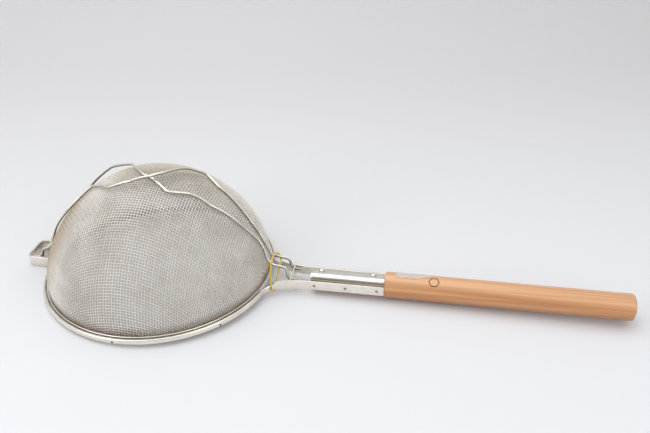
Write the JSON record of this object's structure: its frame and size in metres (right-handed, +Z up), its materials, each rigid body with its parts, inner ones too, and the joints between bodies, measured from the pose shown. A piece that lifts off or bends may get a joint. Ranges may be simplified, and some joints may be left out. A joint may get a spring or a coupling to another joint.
{
  "type": "double-mesh strainer",
  "caption": "Round bowl strainer of two steel meshes in a rolled strip rim, with a front lug, crossing guard wires and a turned wooden handle, lying bowl up.",
  "frame": {"origin": "centre of the bounding box, on the surface that the strainer lies on", "axes": "+X from the bowl towards the end of the handle, +Y across the bowl, +Z up, the bowl's crown on top"},
  "size_m": [0.6192, 0.2402, 0.1244],
  "materials": {
    "frame_steel": "satin polished stainless strip",
    "guard_steel": "bright drawn wire",
    "coarse_mesh": "woven wire cloth, coarse",
    "fine_mesh": "woven wire cloth, fine",
    "handle_wood": "straight-grained, thin clear varnish",
    "band_rubber": "translucent yellow rubber",
    "clear_film": "blank clear film",
    "burned_wood": "burned into the wood"
  },
  "bodies": {
    "strainer_frame": {"rim_band_and_legs": "frame_steel", "inner_clamp_ring": "frame_steel", "front_lug": "frame_steel", "neck_bridge_plate": "frame_steel", "lug_bridge_plate": "frame_steel", "ferrule_cover": "frame_steel", "cover_rivet_front": "frame_steel", "cover_rivet_rear": "frame_steel", "rim_rivet_1": "frame_steel", "rim_rivet_2": "frame_steel", "rim_rivet_3": "frame_steel", "rim_rivet_4": "frame_steel", "rim_rivet_5": "frame_steel", "rim_rivet_6": "frame_steel", "leg_nail_near_1": "frame_steel", "leg_nail_near_2": "frame_steel", "leg_nail_near_3": "frame_steel", "leg_nail_far_1": "frame_steel", "leg_nail_far_2": "frame_steel", "leg_nail_far_3": "frame_steel", "coarse_mesh_bowl": "coarse_mesh", "fine_mesh_bowl": "fine_mesh", "wooden_handle": "handle_wood", "rubber_band": "band_rubber"},
    "guard_lower": {"guard_wire_lower": "guard_steel"},
    "guard_upper": {"guard_wire_upper": "guard_steel"}
  },
  "joints": [
    {"name": "guard_lower_rock", "type": "hinge", "parent": "strainer_frame", "child": "guard_lower", "pos_m": [-0.02217, -0.009, 0.01412], "axis": [-0.9973, 0.0709, -0.0198], "range_deg": [-2, 2]},
    {"name": "guard_upper_rock", "type": "hinge", "parent": "strainer_frame", "child": "guard_upper", "pos_m": [-0.02217, 0.009, 0.01412], "axis": [-0.9973, -0.0709, -0.0198], "range_deg": [-2, 2]}
  ]
}
